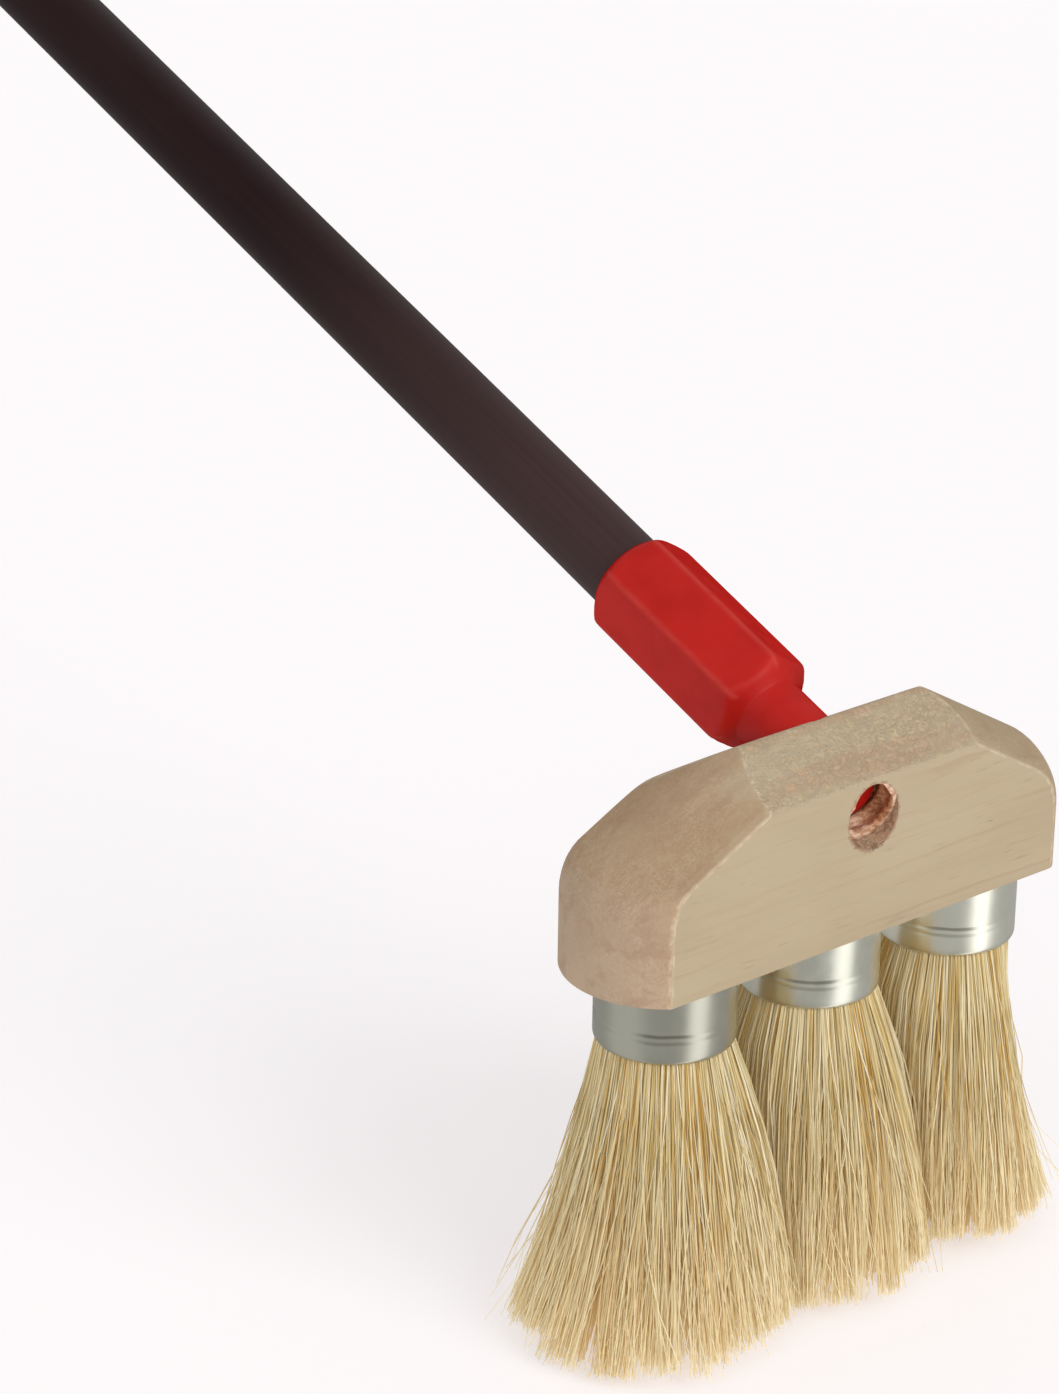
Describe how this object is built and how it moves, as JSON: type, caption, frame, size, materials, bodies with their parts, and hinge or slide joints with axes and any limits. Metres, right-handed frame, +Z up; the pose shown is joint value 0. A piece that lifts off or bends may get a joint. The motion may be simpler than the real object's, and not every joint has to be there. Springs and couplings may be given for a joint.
{
  "type": "roof brush",
  "caption": "Roof brush: fibre knots in steel ferrules under a shaped wooden block, with a long tube handle that screws into the block at a slant.",
  "frame": {"origin": "on the fibre tips' plane, at the centre of the middle knot", "axes": "+X along the block, +Y towards the handle, +Z up from the fibre tips to the block"},
  "size_m": [0.1942, 1.1686, 0.601],
  "materials": {
    "wood": "bare sanded hardwood",
    "steel": "bright drawn steel",
    "zinc": "zinc plated",
    "resin": "cast setting resin",
    "fibre": "stiff plant fibre",
    "red_plastic": "moulded, satin",
    "dark_tube": "pultruded tube, satin",
    "plug_wood": "turned dowel",
    "black_vinyl": "matte"
  },
  "bodies": {
    "handle": {"handle_tube": "dark_tube", "threaded_socket": "red_plastic", "handle_end_cap": "black_vinyl"},
    "handle_core": {"tube_plug": "plug_wood"},
    "head": {"head_block": "wood", "ferrule_left": "steel", "ferrule_washer_left": "zinc", "ferrule_screw_left": "zinc", "setting_resin_left": "resin", "ferrule_middle": "steel", "ferrule_washer_middle": "zinc", "ferrule_screw_middle": "zinc", "setting_resin_middle": "resin", "ferrule_right": "steel", "ferrule_washer_right": "zinc", "ferrule_screw_right": "zinc", "setting_resin_right": "resin"},
    "knot_left": {"bristle_knot_left": "fibre"},
    "knot_middle": {"bristle_knot_middle": "fibre"},
    "knot_right": {"bristle_knot_right": "fibre"}
  },
  "joints": [
    {"name": "head_turn", "type": "hinge", "parent": "handle", "child": "handle_core", "pos_m": [0, -0.02435, 0.1567], "axis": [0, -0.9361, -0.3518], "range_deg": [0, 2160]},
    {"name": "head_advance", "type": "slide", "parent": "handle_core", "child": "head", "axis": [0, -0.9361, -0.3518], "range_m": [0, 0.0306]},
    {"name": "knot_flex_left", "type": "hinge", "parent": "head", "child": "knot_left", "pos_m": [-0.05715, 0, 0.095], "axis": [1, 0, 0], "range_deg": [-15, 15], "stiffness_Nm_per_rad": 2},
    {"name": "knot_flex_middle", "type": "hinge", "parent": "head", "child": "knot_middle", "pos_m": [0, 0, 0.095], "axis": [1, 0, 0], "range_deg": [-15, 15], "stiffness_Nm_per_rad": 2},
    {"name": "knot_flex_right", "type": "hinge", "parent": "head", "child": "knot_right", "pos_m": [0.05715, 0, 0.095], "axis": [1, 0, 0], "range_deg": [-15, 15], "stiffness_Nm_per_rad": 2}
  ],
  "couplings": [
    {"joint": "head_advance", "follows": "head_turn", "m_per_rad": 0.00080851}
  ]
}
